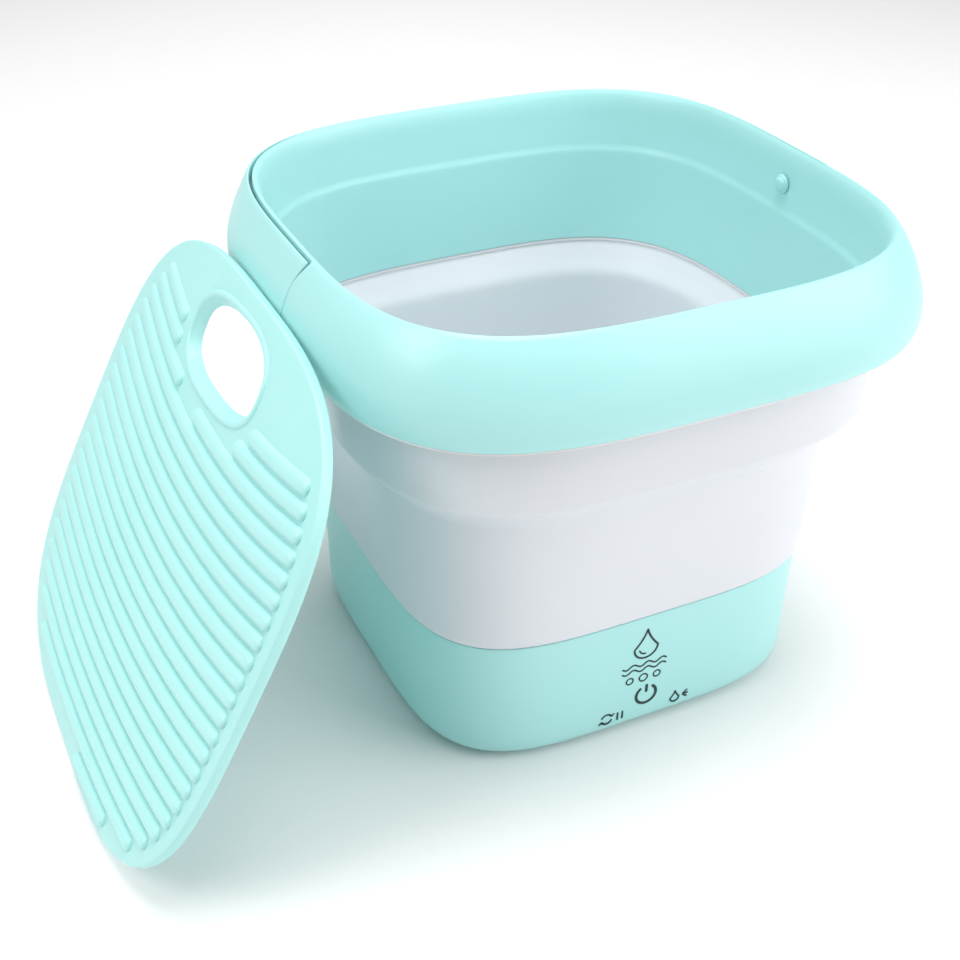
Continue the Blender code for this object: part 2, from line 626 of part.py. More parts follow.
HOLE_AT, HOLE_A, HOLE_B, HOLE_TURN = (-0.0055, 0.1015), 0.0510, 0.0250, math.radians(3.0)


def rib_line(k, s):
    """Height on the board of rib k's middle at s across it: a shallow smile whose lowest place moves left rib by rib."""
    curl = 1.1 - 0.0286 * k
    s0 = 0.018 - 0.0024 * k
    return 0.103 - RIB_PITCH * k - curl * ((0.136 - s0) ** 2 - (s - s0) ** 2)


def on_ribbed_area(s, t):
    """Inside the board's even margin, and clear of the hand hole."""
    board = abs(s / (BOARD_A - RIB_MARGIN)) ** BOARD_N + abs(t / (BOARD_B - RIB_MARGIN)) ** BOARD_N
    grip = abs((s - HOLE_AT[0]) / (HOLE_A + 0.0095)) ** 2.6 + abs((t - HOLE_AT[1]) / (HOLE_B + 0.0095)) ** 2.6
    return board < 1 and grip > 1


spans = []
for k in range(RIB_COUNT):
    start = None
    for i in range(-140, 142):
        s = i * 0.001
        if on_ribbed_area(s, rib_line(k, s)):
            start = s if start is None else start
        else:
            if start is not None and s - start > 0.012:
                spans.append((k, start, s - 0.001))
            start = None

ribs = bmesh.new()
for k, start, end in spans:
    count = 2 if end - start < 0.1 else 5
    rows = []
    for i in range(count + 2):
        # the first and last stations are pulled in and down, so that each rib ends in a slope
        share = min(1.0, max(0.0, (i - 0.5) / (count - 0.0))) if 0 < i < count + 1 else (0.0 if i == 0 else 1.0)
        s = start + (end - start) * share
        thin = 0.45 if i in (0, count + 1) else 1.0
        t = rib_line(k, s)
        rows.append(
            [ribs.verts.new((s, t + w * RIB_W / 2 * thin, z)) for w, z in ((-1, -0.0008), (-0.55, RIB_H * (0.3 if thin < 1 else 1)), (0.55, RIB_H * (0.3 if thin < 1 else 1)), (1, -0.0008))]
        )
    ribs.faces.new(rows[0])
    ribs.faces.new(rows[-1])
    for near, far in zip(rows, rows[1:]):
        for q in range(4):
            p = (q + 1) % 4
            ribs.faces.new((near[q], near[p], far[p], far[q]))
rib_tool = mesh_object("washboard_ribs", ribs, cutter=True)
rib_tool.matrix_world = board_place
cut(washboard, rib_tool, "UNION")

hole = bmesh.new()
hole_loops = [
    [hole.verts.new((x, y, z)) for x, y in squircle(HOLE_A + grow, 2.6, 32, HOLE_B + grow)]
    for grow, z in ((-0.0015, -0.012), (-0.0015, -0.0020), (0.0015, 0.0010), (0.0030, 0.0040))
]
hole.faces.new(hole_loops[0])
hole.faces.new(hole_loops[-1])
for low, high in zip(hole_loops, hole_loops[1:]):
    for i in range(32):
        j = (i + 1) % 32
        hole.faces.new((low[i], low[j], high[j], high[i]))
hole_tool = mesh_object("hand_hole", hole, cutter=True)
hole_tool.matrix_world = board_place @ Matrix.Translation((*HOLE_AT, 0)) @ Matrix.Rotation(HOLE_TURN, 4, "Z")
cut(washboard, hole_tool)
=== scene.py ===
import json
import math

import bmesh
import bpy
import numpy as np
from mathutils import Matrix, Vector


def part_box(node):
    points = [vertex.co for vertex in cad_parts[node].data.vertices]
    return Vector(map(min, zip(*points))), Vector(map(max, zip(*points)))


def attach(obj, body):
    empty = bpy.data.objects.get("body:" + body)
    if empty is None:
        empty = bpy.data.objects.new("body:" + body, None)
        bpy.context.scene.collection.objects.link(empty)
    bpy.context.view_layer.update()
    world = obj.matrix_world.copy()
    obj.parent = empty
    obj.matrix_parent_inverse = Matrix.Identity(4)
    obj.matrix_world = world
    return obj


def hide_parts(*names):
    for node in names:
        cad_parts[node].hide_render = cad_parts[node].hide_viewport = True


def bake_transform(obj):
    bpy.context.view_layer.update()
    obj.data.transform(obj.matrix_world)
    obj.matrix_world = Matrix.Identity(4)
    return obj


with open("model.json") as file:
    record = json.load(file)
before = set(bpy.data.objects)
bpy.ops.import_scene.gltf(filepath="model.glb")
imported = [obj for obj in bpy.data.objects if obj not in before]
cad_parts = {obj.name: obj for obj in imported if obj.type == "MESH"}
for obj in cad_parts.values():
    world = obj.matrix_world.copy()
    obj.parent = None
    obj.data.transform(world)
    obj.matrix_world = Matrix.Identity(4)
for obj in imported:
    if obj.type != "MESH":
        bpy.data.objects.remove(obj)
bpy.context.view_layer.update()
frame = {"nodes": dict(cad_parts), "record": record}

# ------------------------------------------------------------------ frame facts
lo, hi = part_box("base_shell")
WX = (lo.x + hi.x) / 2  # the bucket's axis
BASE_N, RIM_N = 4.15, 3.47
N = 144  # points round a squircle

PIVOT = Vector((WX, -0.0005, 0.2530))
BOARD_TILT = math.radians(27.85)
BOARD_A, BOARD_B, BOARD_N, BOARD_T = 0.1475, 0.1385, 3.47, 0.0060
BOARD = Matrix.Translation((-0.2311 + WX, -0.0006, 0.12495)) @ Matrix(
    (
        (0, math.sin(BOARD_TILT), -math.cos(BOARD_TILT)),
        (-1, 0, 0),
        (0, math.cos(BOARD_TILT), math.sin(BOARD_TILT)),
    )
).to_4x4()


def plan_n(z):
    share = min(1.0, max(0.0, (z - 0.0802) / 0.1))
    return BASE_N + (RIM_N - BASE_N) * share


# ------------------------------------------------------------------ materials
def tree_of(mat):
    mat.use_nodes = True
    tree = mat.node_tree
    return tree, tree.nodes["Principled BSDF"]


def moulded(
    name,
    colour,
    tint,
    rough=(0.26, 0.36),
    grain=900.0,
    bump=0.02,
    subsurface=0.0,
    coat=0.0,
    metallic=0.0,
    broad=9.0,
    radius=(1.0, 1.0, 1.0),
):
    """Moulded plastic or rubber: two close tones in broad soft patches, a fine skin grain and a
    roughness that wanders a little with both."""
    mat = bpy.data.materials.new(name)
    tree, shader = tree_of(mat)
    nodes, links = tree.nodes, tree.links
    coords = nodes.new("ShaderNodeTexCoord")
    turned_space = nodes.new("ShaderNodeMapping")
    turned_space.inputs["Rotation"].default_value = (0.61, 0.37, 0.83)
    links.new(coords.outputs["Object"], turned_space.inputs["Vector"])
    patches = nodes.new("ShaderNodeTexNoise")
    patches.inputs["Scale"].default_value = broad
    patches.inputs["Detail"].default_value = 3.0
    links.new(coords.outputs["Object"], patches.inputs["Vector"])
    ramp = nodes.new("ShaderNodeValToRGB")
    ramp.color_ramp.elements[0].position = 0.3
    ramp.color_ramp.elements[0].color = (*tint, 1)
    ramp.color_ramp.elements[1].position = 0.7
    ramp.color_ramp.elements[1].color = (*colour, 1)
    links.new(patches.outputs["Fac"], ramp.inputs["Fac"])
    links.new(ramp.outputs["Color"], shader.inputs["Base Color"])
    fine = nodes.new("ShaderNodeTexNoise")
    fine.inputs["Scale"].default_value = grain
    fine.inputs["Detail"].default_value = 1.5
    fine.inputs["Roughness"].default_value = 0.5
    links.new(turned_space.outputs["Vector"], fine.inputs["Vector"])
    smudge = nodes.new("ShaderNodeTexNoise")
    smudge.inputs["Scale"].default_value = broad * 4
    smudge.inputs["Detail"].default_value = 5.0
    links.new(coords.outputs["Object"], smudge.inputs["Vector"])
    both = nodes.new("ShaderNodeMath")
    both.operation = "MULTIPLY_ADD"
    both.inputs[1].default_value = 0.35
    links.new(fine.outputs["Fac"], both.inputs[0])
    links.new(smudge.outputs["Fac"], both.inputs[2])
    span = nodes.new("ShaderNodeMapRange")
    span.inputs["From Min"].default_value = 0.35
    span.inputs["From Max"].default_value = 1.0
    span.inputs["To Min"].default_value = rough[0]
    span.inputs["To Max"].default_value = rough[1]
    links.new(both.outputs[0], span.inputs["Value"])
    links.new(span.outputs["Result"], shader.inputs["Roughness"])
    relief = nodes.new("ShaderNodeBump")
    relief.inputs["Strength"].default_value = bump * 6
    relief.inputs["Distance"].default_value = 0.00008
    links.new(fine.outputs["Fac"], relief.inputs["Height"])
    links.new(relief.outputs["Normal"], shader.inputs["Normal"])
    shader.inputs["Metallic"].default_value = metallic
    if subsurface:
        shader.inputs["Subsurface Weight"].default_value = subsurface
        shader.inputs["Subsurface Radius"].default_value = radius
        shader.inputs["Subsurface Scale"].default_value = 0.004
    if coat:
        shader.inputs["Coat Weight"].default_value = coat
        shader.inputs["Coat Roughness"].default_value = 0.32
    return mat


def brushed(name, colour, rough=(0.22, 0.42), stretch=(1, 1, 60)):
    mat = bpy.data.materials.new(name)
    tree, shader = tree_of(mat)
    nodes, links = tree.nodes, tree.links
    coords = nodes.new("ShaderNodeTexCoord")
    mapping = nodes.new("ShaderNodeMapping")
    mapping.inputs["Scale"].default_value = stretch
    links.new(coords.outputs["Object"], mapping.inputs["Vector"])
    lines = nodes.new("ShaderNodeTexNoise")
    lines.inputs["Scale"].default_value = 120.0
    lines.inputs["Detail"].default_value = 6.0
    links.new(mapping.outputs["Vector"], lines.inputs["Vector"])
    ramp = nodes.new("ShaderNodeValToRGB")
    ramp.color_ramp.elements[0].color = (*[c * 0.82 for c in colour], 1)
    ramp.color_ramp.elements[1].color = (*colour, 1)
    links.new(lines.outputs["Fac"], ramp.inputs["Fac"])
    links.new(ramp.outputs["Color"], shader.inputs["Base Color"])
    span = nodes.new("ShaderNodeMapRange")
    span.inputs["To Min"].default_value = rough[0]
    span.inputs["To Max"].default_value = rough[1]
    links.new(lines.outputs["Fac"], span.inputs["Value"])
    links.new(span.outputs["Result"], shader.inputs["Roughness"])
    shader.inputs["Metallic"].default_value = 1.0
    return mat


MINT = moulded("mint_moulded", (0.420, 0.790, 0.775), (0.405, 0.775, 0.760), (0.34, 0.44), 620, 0.014, coat=0.2, subsurface=0.06)
BOARD_MINT = moulded("mint_washboard", (0.430, 0.800, 0.778), (0.415, 0.785, 0.762), (0.34, 0.46), 700, 0.020, subsurface=0.06)
LINER_MINT = moulded("mint_liner", (0.425, 0.785, 0.775), (0.410, 0.770, 0.760), (0.30, 0.42), 700, 0.018, subsurface=0.06)
RUBBER = moulded("white_flexible_wall", (0.735, 0.752, 0.790), (0.720, 0.740, 0.780), (0.42, 0.56), 520, 0.03, subsurface=0.10)
BEAD = moulded("blush_bead", (0.80, 0.755, 0.775), (0.78, 0.735, 0.755), (0.40, 0.50), 700, 0.02, subsurface=0.10)
WHITE = moulded("white_moulded", (0.80, 0.82, 0.84), (0.775, 0.80, 0.825), (0.32, 0.44), 700, 0.018, subsurface=0.05)
INK = moulded("panel_ink", (0.003, 0.026, 0.029), (0.006, 0.032, 0.035), (0.35, 0.5), 1500, 0.02)
BLACK = moulded("black_moulded", (0.020, 0.021, 0.023), (0.030, 0.031, 0.033), (0.38, 0.55), 900, 0.04)
FOOT = moulded("foot_rubber", (0.045, 0.048, 0.050), (0.060, 0.063, 0.066), (0.62, 0.80), 800, 0.08)
BOARD_GREEN = moulded("circuit_laminate", (0.020, 0.17, 0.07), (0.015, 0.12, 0.05), (0.30, 0.45), 1400, 0.03, broad=120)
WIRE = moulded("wire_insulation", (0.42, 0.045, 0.035), (0.36, 0.035, 0.03), (0.40, 0.52), 900, 0.03)
STEEL = brushed("turned_steel", (0.62, 0.62, 0.64))
BRONZE = brushed("sintered_bronze", (0.62, 0.43, 0.22), (0.35, 0.55))


def clear_lens():
    mat = bpy.data.materials.new("lamp_lens_clear")
    tree, shader = tree_of(mat)
    coords = tree.nodes.new("ShaderNodeTexCoord")
    cells = tree.nodes.new("ShaderNodeTexVoronoi")
    cells.inputs["Scale"].default_value = 700.0
    tree.links.new(coords.outputs["Object"], cells.inputs["Vector"])
    relief = tree.nodes.new("ShaderNodeBump")
    relief.inputs["Strength"].default_value = 0.2
    relief.inputs["Distance"].default_value = 0.0002
    tree.links.new(cells.outputs["Distance"], relief.inputs["Height"])
    tree.links.new(relief.outputs["Normal"], shader.inputs["Normal"])
    shader.inputs["Base Color"].default_value = (0.70, 0.82, 0.95, 1)
    shader.inputs["Roughness"].default_value = 0.12
    shader.inputs["Transmission Weight"].default_value = 0.6
    shader.inputs["IOR"].default_value = 1.49
    return mat


LENS = clear_lens()
BY_SLOT = {
    "mint_plastic": MINT,
    "white_plastic": WHITE,
    "white_rubber": RUBBER,
    "black_rubber": FOOT,
    "steel": STEEL,
    "bronze": BRONZE,
    "circuit_board": BOARD_GREEN,
    "lamp_lens": LENS,
    "black_plastic": BLACK,
    "wire": WIRE,
}
for part in frame["record"]["subparts"]:
    node = frame["nodes"][part["node"]]
    node.data.materials.clear()
    node.data.materials.append(BY_SLOT[part["material_slot"]])


# ------------------------------------------------------------------ shapes
def even(points, count, closed):
    """count points at even distances along a line."""
    points = np.asarray(points, float)
    if closed:
        points = np.vstack([points, points[:1]])
    steps = np.linalg.norm(np.diff(points, axis=0), axis=1)
    along = np.concatenate([[0], np.cumsum(steps)])
    wanted = np.linspace(0, along[-1], count + 1)[:-1] if closed else np.linspace(0, along[-1], count)
    return np.stack([np.interp(wanted, along, points[:, k]) for k in range(points.shape[1])], -1)


def super_at(theta, a, n, b=None):
    b = a if b is None else b
    c, s = np.cos(theta), np.sin(theta)
    return np.stack([a * np.sign(c) * np.abs(c) ** (2 / n), b * np.sign(s) * np.abs(s) ** (2 / n)], -1)


def ring(a, n, count=N, b=None):
    return even(super_at(np.linspace(0, 2 * np.pi, 4097)[:-1], a, n, b), count, True)


def part_ring(a, n, y_end, front, count):
    """The stretch of a squircle in front of, or behind, y = y_end."""
    t = math.asin(min(1.0, (abs(y_end) / a) ** (n / 2)))
    if front:
        theta = np.linspace(np.pi + t, 2 * np.pi - t, 3001)
    else:
        theta = np.linspace(-t, np.pi + t, 3001)
    return even(super_at(theta, a, n), count, False)


def spline(points, step=0.0012):
    """A smooth line through the points, cut into even steps."""
    points = np.asarray(points, float)
    if len(points) == 2:
        return points
    ext = np.vstack([2 * points[0] - points[1], points, 2 * points[-1] - points[-2]])
    out = []
    for p0, p1, p2, p3 in zip(ext, ext[1:], ext[2:], ext[3:]):
        for t in np.linspace(0, 1, 12)[:-1]:
            out.append(0.5 * (2 * p1 + (p2 - p0) * t + (2 * p0 - 5 * p1 + 4 * p2 - p3) * t * t + (3 * p1 - p0 - 3 * p2 + p3) * t**3))
    out.append(points[-1])
    out = np.array(out)
    length = np.linalg.norm(np.diff(out, axis=0), axis=1).sum()
    return even(out, max(3, int(round(length / step)) + 1), False)


def profile(*runs, step=0.0012):
    """A closed profile: smooth runs that meet at corners."""
    out = []
    for run in runs:
        for p in spline(run, step):
            if not out or np.linalg.norm(np.array(out[-1]) - p) > 1e-6:
                out.append(p)
    if np.linalg.norm(np.array(out[-1]) - np.array(out[0])) < 1e-6:
        out.pop()
    return np.array(out)


def piece(name, verts, faces, look, body=None, slot=None, sharp=35, at=None, replaces=(), mods=()):
    mesh = bpy.data.meshes.new(name)
    bm = bmesh.new()
    made = [bm.verts.new(v) for v in verts]
    for f in faces:
        bm.faces.new([made[i] for i in f])
    bmesh.ops.recalc_face_normals(bm, faces=bm.faces)
    bm.to_mesh(mesh)
    bm.free()
    obj = bpy.data.objects.new(name, mesh)
    bpy.context.scene.collection.objects.link(obj)
    mesh.materials.append(look)
    mesh.shade_smooth()
    mesh.set_sharp_from_angle(angle=math.radians(sharp))
    if at is not None:
        mesh.transform(at)
    if body:
        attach(obj, body)
    if replaces:
        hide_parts(*replaces)
    return obj


def grid(loops, closed_rows=True, closed_cols=True, caps=False):
    """Faces over a stack of loops. closed_rows joins the last loop to the first."""
    rows, cols = len(loops), len(loops[0])
    verts = [tuple(v) for loop in loops for v in loop]
    faces = []
    for i in range(rows if closed_rows else rows - 1):
        k = (i + 1) % rows
        for j in range(cols if closed_cols else cols - 1):
            m = (j + 1) % cols
            faces.append((i * cols + j, i * cols + m, k * cols + m, k * cols + j))
    if caps and not closed_cols:  # a swept profile: close its two ends
        faces.append([i * cols for i in range(rows)])
        faces.append([i * cols + cols - 1 for i in range(rows)])
    if caps and not closed_rows:  # a stack: close bottom and top
        faces.append(list(range(cols)))
        faces.append([(rows - 1) * cols + j for j in range(cols)])
    return verts, faces


def shell(name, prof, look, n_at, **kw):
    """A profile (a, z) carried round the bucket."""
    loops = []
    for a, z in prof:
        n = n_at(z) if callable(n_at) else n_at
        loops.append([(WX + x, y, z) for x, y in ring(a, n)])
    return piece(name, *grid(loops), look, **kw)


def round_off(obj, width, segments=2, angle=30):
    made = obj.modifiers.new("edge_radius", "BEVEL")
    made.width = width
    made.segments = segments
    made.limit_method = "ANGLE"
    made.angle_limit = math.radians(angle)
    made.harden_normals = False
    return obj


def turned(name, prof, look, at, body, steps=48, turn=None, **kw):
    """A profile (radius, height) turned about its own Z; it may start and end on the axis."""
    prof = [tuple(p) for p in prof]
    on_axis = [p[0] < 1e-7 for p in prof]
    verts, index = [], []
    for (r, z), axis in zip(prof, on_axis):
        if axis:
            index.append([len(verts)] * steps)
            verts.append((0, 0, z))
        else:
            index.append(list(range(len(verts), len(verts) + steps)))
            verts += [(r * math.cos(2 * math.pi * k / steps), r * math.sin(2 * math.pi * k / steps), z) for k in range(steps)]
    faces = []
    closed = not (on_axis[0] and on_axis[-1])
    for i in range(len(prof) if closed else len(prof) - 1):
        k = (i + 1) % len(prof)
        for j in range(steps):
            m = (j + 1) % steps
            f = [index[i][j], index[i][m], index[k][m], index[k][j]]
            f = [v for q, v in enumerate(f) if v not in f[:q]]
            if len(f) > 2:
                faces.append(f)
    place = Matrix.Translation(at)
    if turn is not None:
        place = place @ turn
    return piece(name, verts, faces, look, body, at=place, **kw)


def cut(obj, tool, operation="DIFFERENCE"):
    """Cuts straight into the mesh, and removes the tool."""
    made = obj.modifiers.new("cut", "BOOLEAN")
    made.operation = operation
    made.solver = "EXACT"
    made.object = tool
    bpy.context.view_layer.update()
    done = bpy.data.meshes.new_from_object(obj.evaluated_get(bpy.context.evaluated_depsgraph_get()))
    old = obj.data
    obj.modifiers.remove(made)
    obj.data = done
    bpy.data.meshes.remove(old)
    bpy.data.objects.remove(tool, do_unlink=True)
    return obj


def resharpen(obj, angle=35):
    obj.data.shade_smooth()
    obj.data.set_sharp_from_angle(angle=math.radians(angle))
    return obj


# ------------------------------------------------------------------ base
base_profile = profile(
    [(0.1000, 0.0015), (0.1052, 0.0015)],
    [(0.1052, 0.0015), (0.1085, 0.0017), (0.1118, 0.0026), (0.1147, 0.0045), (0.1167, 0.0073), (0.1178, 0.0108), (0.11815, 0.0150)],
    [(0.11815, 0.0150), (0.1187, 0.0450), (0.11935, 0.0788)],
    [(0.11935, 0.0788), (0.1192, 0.0797), (0.1187, 0.0801), (0.1180, 0.0802)],
    [(0.1180, 0.0802), (0.1169, 0.0802)],
    [(0.1169, 0.0802), (0.1168, 0.0664)],
    [(0.1168, 0.0664), (0.1125, 0.0664)],
    [(0.1125, 0.0664), (0.1125, 0.0642)],
    [(0.1125, 0.0642), (0.1160, 0.0610)],
    [(0.1160, 0.0610), (0.1150, 0.0112)],
    [(0.1150, 0.0112), (0.1128, 0.0070), (0.1085, 0.0048), (0.1000, 0.0045)],
    [(0.1000, 0.0045), (0.1000, 0.0015)],
    step=0.0022,
)
base = shell("base_casing", base_profile, MINT, BASE_N, replaces=("base_shell",))
inlet_lo, inlet_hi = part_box("power_inlet")
INLET = Vector(((inlet_lo.x + inlet_hi.x) / 2, 0.1180, (inlet_lo.z + inlet_hi.z) / 2))
cut(base, turned("inlet_cut", [(0, -0.02), (0.0056, -0.02), (0.0056, 0.02), (0, 0.02)], MINT, INLET, None, 48, Matrix.Rotation(math.pi / 2, 4, "X")))
resharpen(base, 40)
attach(base, "base")
turned(
    "inlet_bezel",
    [(0.0057, -0.0004), (0.0057, 0.0009), (0.0062, 0.0013), (0.0074, 0.0013), (0.0082, 0.0008), (0.0084, -0.0004)],
    BLACK,
    INLET + Vector((0, 0.0005, 0)),
    "base",
    64,
    Matrix.Rotation(-math.pi / 2, 4, "X"),
    slot="black_plastic",
)


def front(x, z, out=0.0):
    """A point on the base's front face, or a little in front of it."""
    a = np.interp(z, [0.0150, 0.0450, 0.0788], [0.11815, 0.1187, 0.11935])
    y = -a * (1 - abs(x / a) ** BASE_N) ** (1 / BASE_N)
    return (WX + x, y - out, z)


def printed(name, outlines, thick=0.00016):
    """Flat printed shapes lying on the front face; each outline is a closed list of (x, z)."""
    verts, faces = [], []
    for inner, outer in outlines:
        start, count = len(verts), len(outer)
        for out in (-0.00006, thick):
            for line in (outer, inner):
                verts += [front(x, z, out) for x, z in line]
        for j in range(count):
            m = (j + 1) % count
            o0, i0, o1, i1 = start, start + count, start + 2 * count, start + 3 * count
            faces += [
                (o1 + j, o1 + m, i1 + m, i1 + j),
                (o0 + j, i0 + j, i0 + m, o0 + m),
                (o0 + j, o0 + m, o1 + m, o1 + j),
                (i0 + j, i1 + j, i1 + m, i0 + m),
            ]
    return piece(name, verts, faces, INK, "base", sharp=30)


def stroke(points, width, closed=False):
    """The two sides of a line of some width, as (inner, outer) loops of a thin closed band."""
    p = np.asarray(points, float)
    if closed:
        d = np.roll(p, -1, 0) - np.roll(p, 1, 0)
        d /= np.linalg.norm(d, axis=1)[:, None]
        nrm = np.stack([d[:, 1], -d[:, 0]], -1)
        return [(p - nrm * width / 2, p + nrm * width / 2)]
    d = np.gradient(p, axis=0)
    d /= np.linalg.norm(d, axis=1)[:, None]
    nrm = np.stack([d[:, 1], -d[:, 0]], -1)
    tail = [p[0] + width / 2 * (math.cos(t) * -d[0] + math.sin(t) * -nrm[0]) for t in np.linspace(-math.pi / 2, math.pi / 2, 7)[1:-1]]
    head = [p[-1] + width / 2 * (math.cos(t) * d[-1] + math.sin(t) * nrm[-1]) for t in np.linspace(-math.pi / 2, math.pi / 2, 7)[1:-1]]
    loop = np.vstack([p + nrm * width / 2, head[::-1], (p - nrm * width / 2)[::-1], tail[::-1]])
    middle = loop.mean(0)
    # a thin line: its inner loop is its own middle line, so that the band fills it
    k = len(p)
    inner = np.vstack([p, np.repeat(p[-1:], len(head), 0), p[::-1], np.repeat(p[:1], len(tail), 0)])
    inner = inner + (loop - inner) * 0.02
    return [(inner, loop)]


def arc(cx, cz, r, a0, a1, count=40, rz=None):
    t = np.radians(np.linspace(a0, a1, count))
    return np.stack([cx + r * np.cos(t), cz + (rz or r) * np.sin(t)], -1)


def drop(cx, cz, r, count=48):
    """A water drop: a round bottom that runs up to a point."""
    out = []
    for k in range(count):
        t = 2 * math.pi * k / count
        x = math.sin(t)
        z = -math.cos(t)
        pull = max(0.0, z)
        out.append((cx + r * x * (1 - pull) ** 0.75 if z > 0 else cx + r * x, cz + r * z * (1 + 0.75 * pull**1.5)))
    return np.array(out)


wave_x = np.linspace(-0.0135, 0.0135, 60)
marks = []
marks += stroke(drop(-0.0040, 0.0590, 0.0072), 0.0012, True)
marks += stroke(arc(-0.0040, 0.0590, 0.0042, 200, 268, 16), 0.0010)
for shift, height in ((0.0, 0.0474), (0.0, 0.0438)):
    marks += stroke(np.stack([wave_x - 0.0040, height + 0.0011 * np.sin(wave_x * 2 * math.pi / 0.0090)], -1), 0.0010)
for k in range(3):
    marks += stroke(arc(-0.0040 + (k - 1) * 0.0085, 0.0375, 0.0021 + (0.0004 if k == 1 else 0), 0, 360, 33)[:-1], 0.0009, True)
printed("panel_mark", marks)

power = stroke(arc(-0.0012, 0.0243, 0.0062, 130, 410, 56), 0.0018)
power += stroke([(-0.0012, z) for z in np.linspace(0.0266, 0.0308, 6)], 0.0017)
printed("panel_power_symbol", power)

# left: a turning-tub symbol with two bars; right: a drop with three rays
tub_x, tub_z, tub_r = -0.0252, 0.0146, 0.0033
left = stroke(arc(tub_x, tub_z, tub_r, 25, 155, 20), 0.0011) + stroke(arc(tub_x, tub_z, tub_r, 205, 335, 20), 0.0011)
for sign in (1, -1):
    corner = (tub_x + sign * tub_r * math.cos(math.radians(25)), tub_z + sign * tub_r * math.sin(math.radians(25)))
    left += stroke([(corner[0] + d, corner[1] + sign * abs(d) * 0.9) for d in np.linspace(-0.0013, 0.0013, 7)], 0.0010)
for bar in (-0.0184, -0.0154):
    left += stroke([(bar, z) for z in np.linspace(0.0122, 0.0168, 6)], 0.0011)
printed("panel_run_symbol", left)
right = stroke(drop(0.0182, 0.0143, 0.0028), 0.0010, True)
for k in range(3):
    angle = math.radians(-35 + 35 * k)
    right += stroke([(0.0228 + r * math.cos(angle), 0.0150 + r * math.sin(angle)) for r in np.linspace(0.0010, 0.0038, 5)], 0.0011)
printed("panel_rinse_symbol", right)

# underside: the cover with its slots and pockets
cover = piece(
    "underside_cover",
    *grid(
        [[(WX + x, y, z) for x, y in ring(a, BASE_N)] for a, z in ((0.0990, 0.0045), (0.0996, 0.0041), (0.0996, 0.0020), (0.0991, 0.0015))],
        closed_rows=False,
        caps=True,
    ),
    WHITE,
    replaces=("bottom_cover",),
)
foot_places = [((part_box(n)[0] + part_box(n)[1]) / 2) for n in ("foot_left_front", "foot_left_rear", "foot_right_front", "foot_right_rear")]
screw_places = [((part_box(n)[0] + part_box(n)[1]) / 2) for n in ("cover_screw_left_front", "cover_screw_left_rear", "cover_screw_right_front", "cover_screw_right_rear")]
for p in foot_places:
    cut(cover, turned("pocket", [(0, -0.01), (0.0094, -0.01), (0.0094, 0.0028), (0, 0.0028)], WHITE, (p.x, p.y, 0), None, 48))
for p in screw_places:
    cut(cover, turned("pocket", [(0, -0.01), (0.0041, -0.01), (0.0041, 0.0033), (0.0019, 0.0033), (0.0019, 0.01), (0, 0.01)], WHITE, (p.x, p.y, 0), None, 32))
for row in range(7):
    y = -0.030 + row * 0.010
    verts, faces = grid(
        [[(WX + x, y + v, z) for x, v in ring(0.030, 6.0, 48, 0.0021)] for z in (-0.01, 0.02)], closed_rows=False, caps=True
    )
    cut(cover, piece("slot", verts, faces, WHITE))
resharpen(cover, 40)
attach(cover, "base")
for k, p in enumerate(foot_places):
    turned(
        f"foot_pad_{k}",
        [(0, 0.0025), (0.0091, 0.0025), (0.0091, 0.0010), (0.0089, 0.0004), (0.0083, 0.0), (0.0068, 0.0), (0.0064, 0.0005), (0.0058, 0.0005), (0.0054, 0.0), (0.0036, 0.0), (0.0032, 0.0005), (0.0026, 0.0005), (0.0022, 0.0), (0, 0.0)],
        FOOT,
        (p.x, p.y, 0),
        "base",
        64,
        slot="black_rubber",
        replaces=(("foot_left_front", "foot_left_rear", "foot_right_front", "foot_right_rear")[k],),
    )

# ------------------------------------------------------------------ the flexible wall, one skin
wall_profile = profile(
    [(0.1162, 0.0706), (0.1162, 0.0806)],
    [(0.1162, 0.0806), (0.1186, 0.0807), (0.1199, 0.0812), (0.1206, 0.0828), (0.1210, 0.0860)],
    [(0.1210, 0.0860), (0.1228, 0.1080), (0.1246, 0.1310), (0.1264, 0.1540), (0.1268, 0.1596), (0.1270, 0.1612), (0.1277, 0.1621), (0.1282, 0.1634), (0.1284, 0.1648), (0.1294, 0.1662), (0.1318, 0.1700), (0.1352, 0.1758), (0.1374, 0.1792), (0.1386, 0.1804), (0.1394, 0.1803)],
    [(0.1394, 0.1803), (0.1404, 0.1790), (0.1416, 0.1780), (0.1427, 0.1783), (0.1432, 0.1796), (0.1432, 0.1815)],
    [(0.1432, 0.1815), (0.1431, 0.1950), (0.1429, 0.2285)],
    [(0.1429, 0.2285), (0.1405, 0.2285)],
    [(0.1405, 0.2285), (0.1404, 0.1880), (0.1398, 0.1848), (0.1386, 0.1824), (0.1377, 0.1806), (0.1370, 0.1792), (0.1340, 0.1746), (0.1300, 0.1684), (0.1262, 0.1628), (0.1248, 0.1590), (0.1242, 0.1530), (0.1222, 0.1270), (0.1192, 0.0900), (0.1186, 0.0856), (0.1172, 0.0832), (0.1150, 0.0822), (0.1142, 0.0806)],
    [(0.1142, 0.0806), (0.1142, 0.0706)],
    [(0.1142, 0.0706), (0.1162, 0.0706)],
    step=0.0016,
)
wall = shell("folding_wall", wall_profile, RUBBER, plan_n, sharp=50, replaces=("wall_tier", "wall_fold_lower", "wall_fold_upper", "wall_cuff"))
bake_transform(wall)


